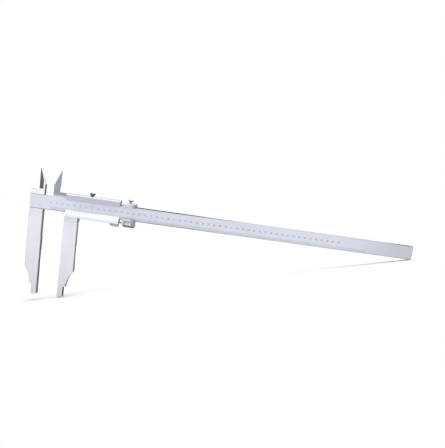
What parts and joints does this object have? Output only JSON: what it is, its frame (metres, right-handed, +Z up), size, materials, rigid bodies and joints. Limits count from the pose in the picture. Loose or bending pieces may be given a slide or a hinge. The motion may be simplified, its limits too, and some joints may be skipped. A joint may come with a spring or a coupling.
{
  "type": "vernier caliper",
  "caption": "Long vernier caliper with nib lower jaws, knife-edge upper blades, a clamped slider on a graduated beam and a fine-adjustment carriage.",
  "frame": {"origin": "middle of the fixed jaw's measuring face, at mid thickness of the beam", "axes": "+X along the beam to its free end, +Z up towards the knife-edge blades, graduated front faces -Y"},
  "size_m": [0.671, 0.013, 0.2184],
  "materials": {
    "satin_chrome": "satin chrome plate, matt for reading",
    "ground_steel": "ground stainless steel",
    "satin_steel": "milled and satin ground stainless steel",
    "grey_steel": "fine ground hardened steel, greyer",
    "white_chrome": "bright matt chrome plate",
    "spring_steel": "plain steel",
    "knurled_steel": "turned and knurled steel",
    "dark_steel": "darkened steel"
  },
  "bodies": {
    "root": {"beam": "satin_chrome", "fixed_jaw": "ground_steel", "jaw_rivets": "ground_steel", "beam_stop_screw": "dark_steel"},
    "slider": {"slider_frame": "satin_steel", "slider_jaw": "ground_steel", "slider_jaw_rivets": "ground_steel", "slider_blade": "grey_steel", "slider_blade_screws": "dark_steel", "vernier_plate": "white_chrome", "vernier_plate_screws": "dark_steel", "slider_gib": "spring_steel", "slider_gib_screws": "dark_steel", "fine_screw": "spring_steel", "fine_screw_lock": "dark_steel"},
    "slider_clamp": {"slider_clamp_screw": "dark_steel"},
    "carriage": {"carriage_frame": "satin_steel", "carriage_gib": "spring_steel"},
    "carriage_clamp": {"carriage_clamp_screw": "dark_steel"},
    "nut": {"fine_nut": "knurled_steel"}
  },
  "joints": [
    {"name": "slider_slide", "type": "slide", "parent": "root", "child": "slider", "axis": [1, 0, 0], "range_m": [-0.036, 0.464]},
    {"name": "slider_clamp_turn", "type": "hinge", "parent": "slider", "child": "slider_clamp", "pos_m": [0.0793, 0, 0.1285], "axis": [0, 0, 1], "range_deg": [-90, 270]},
    {"name": "carriage_slide", "type": "slide", "parent": "slider", "child": "carriage", "axis": [1, 0, 0], "range_m": [-0.004, 0.004]},
    {"name": "carriage_clamp_turn", "type": "hinge", "parent": "carriage", "child": "carriage_clamp", "pos_m": [0.1448, 0, 0.1285], "axis": [0, 0, 1], "range_deg": [-90, 270]},
    {"name": "fine_nut_turn", "type": "hinge", "parent": "carriage", "child": "nut", "pos_m": [0.1447, 0, 0.0929], "axis": [1, 0, 0], "range_deg": [-2900, 2900]}
  ],
  "couplings": [
    {"joint": "fine_nut_turn", "follows": "carriage_slide", "rad_per_m": 12566}
  ]
}
